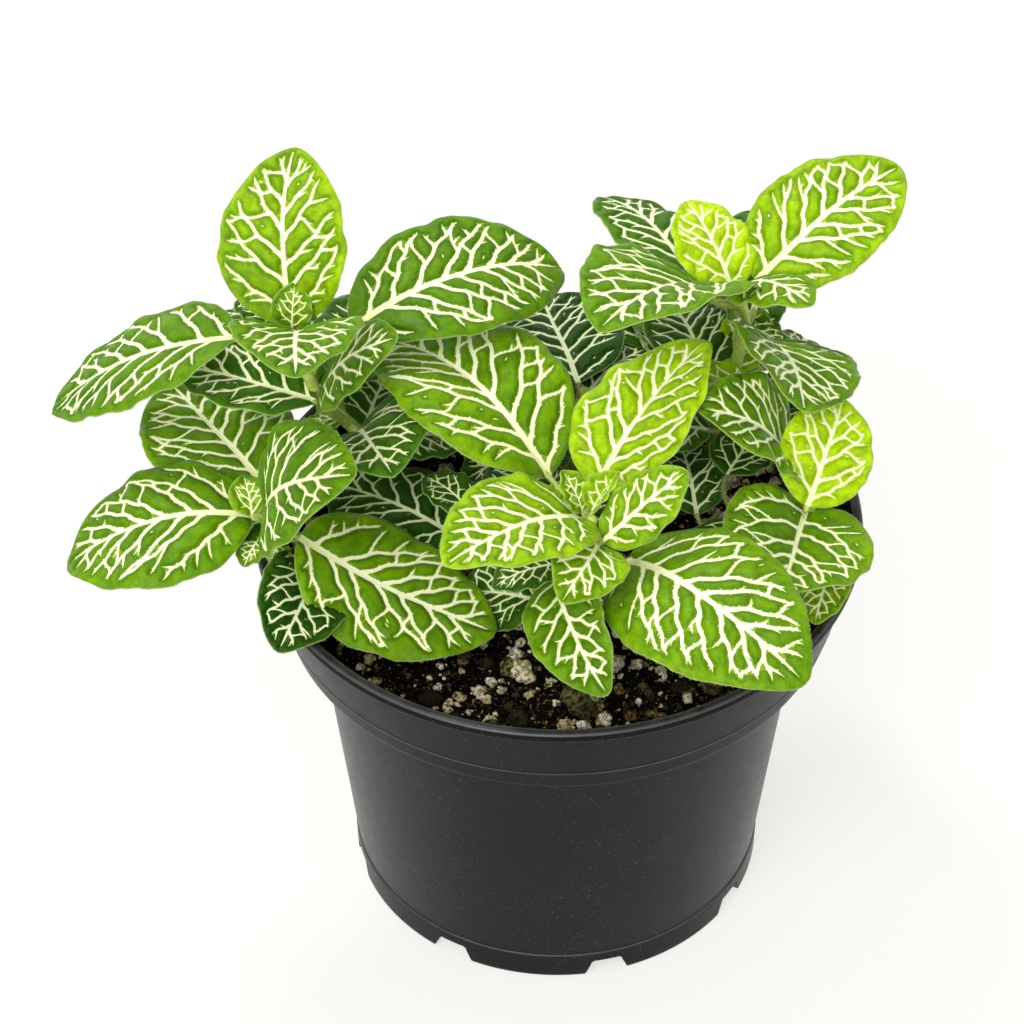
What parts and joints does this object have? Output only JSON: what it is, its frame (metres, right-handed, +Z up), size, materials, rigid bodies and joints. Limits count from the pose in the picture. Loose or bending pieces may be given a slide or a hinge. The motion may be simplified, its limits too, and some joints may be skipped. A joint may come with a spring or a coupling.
{
  "type": "potted nerve plant",
  "caption": "Nerve plant with white-veined green leaves on short leafy stems, rooted in potting mix in a round black nursery pot.",
  "frame": {"origin": "On the pot's axis, on the flat pad under the pot's floor, which is level with the foot that stands on the table.", "axes": "+Z up along the pot's axis, +X to the right of the front view, -Y towards the viewer."},
  "size_m": [0.1673, 0.1472, 0.1571],
  "materials": {
    "pot_plastic": "moulded black plastic, satin with a faint grain",
    "potting_mix": "dark fibrous potting mix with pale perlite grains",
    "leaf": "soft satin leaf, quilted between cream-white veins"
  },
  "bodies": {
    "root": {"pot": "pot_plastic", "potting_mix": "potting_mix", "stem_back_left": "leaf", "stem_left": "leaf", "stem_centre": "leaf", "stem_back_right": "leaf", "stem_right": "leaf", "stem_back_centre": "leaf", "stem_rear_left": "leaf", "stem_rear": "leaf", "stem_rear_right": "leaf"}
  },
  "joints": []
}
